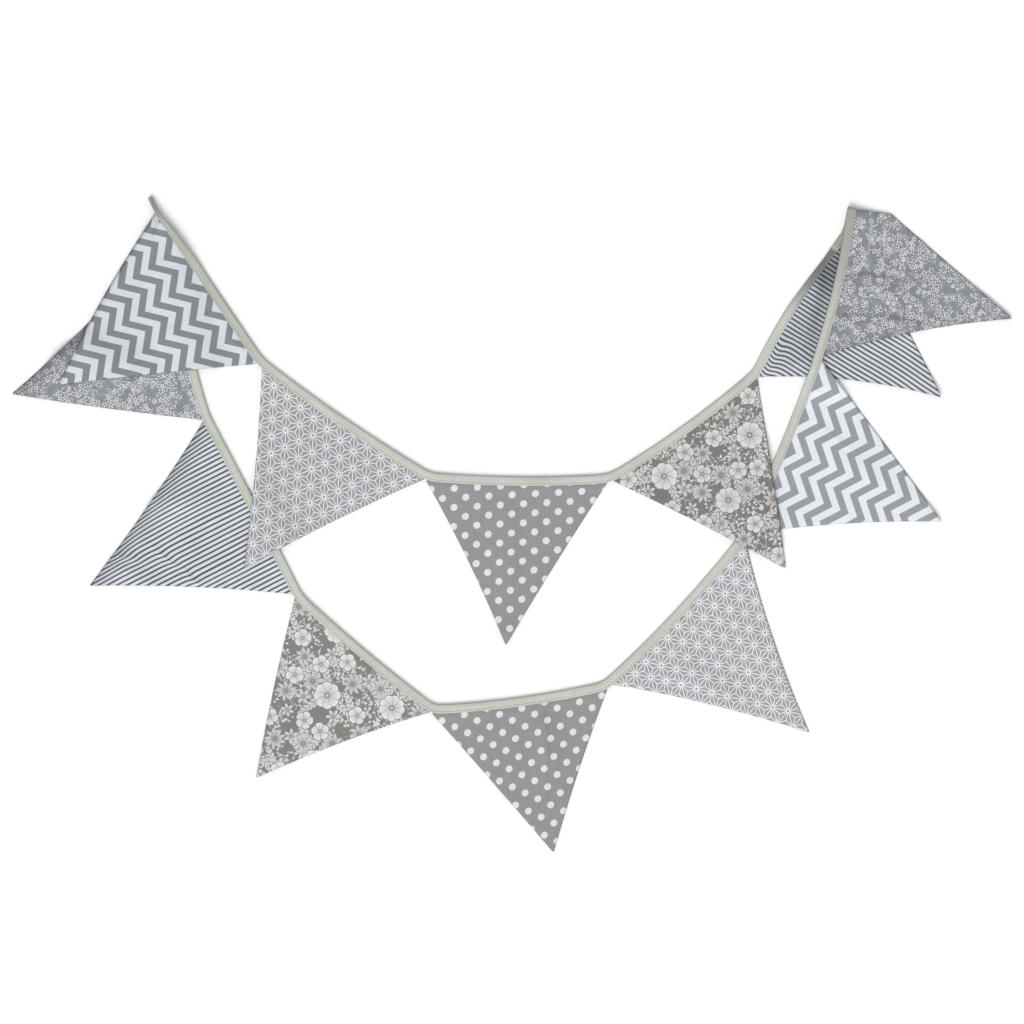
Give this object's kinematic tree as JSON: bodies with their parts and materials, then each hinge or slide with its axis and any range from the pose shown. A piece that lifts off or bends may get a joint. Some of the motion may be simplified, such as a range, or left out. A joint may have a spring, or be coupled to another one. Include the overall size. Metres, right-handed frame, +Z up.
{
  "type": "bunting",
  "caption": "Cotton bunting of double triangular flags in pale grey prints on a sage binding tape, laid flat in swags, its string folded back over itself.",
  "frame": {"origin": "centre of the part's footprint, on the table it lies on", "axes": "+Z up, square to the cloth, towards the picture's camera; +X to the picture's right, along the string's widest reach; +Y towards the picture's top, where both loose ends and the fold lie"},
  "size_m": [1.092, 0.7168, 0.0091],
  "materials": {
    "zigzag": "plain-weave cotton, printed, matt",
    "star": "plain-weave cotton, printed, matt",
    "dot": "plain-weave cotton, printed, matt",
    "flower": "plain-weave cotton, printed, matt",
    "stripe": "plain-weave cotton, printed, matt",
    "sprig": "plain-weave cotton, printed, matt",
    "tape": "bias-cut cotton binding, folded and stitched, matt"
  },
  "bodies": {
    "root": {"flag_01": "zigzag", "flag_02": "star", "flag_03": "dot", "flag_04": "flower", "flag_05": "stripe", "flag_06": "sprig", "flag_07": "zigzag", "flag_08": "star", "flag_09": "dot", "flag_10": "flower", "flag_11": "stripe", "flag_12": "sprig", "tape": "tape"}
  },
  "joints": []
}
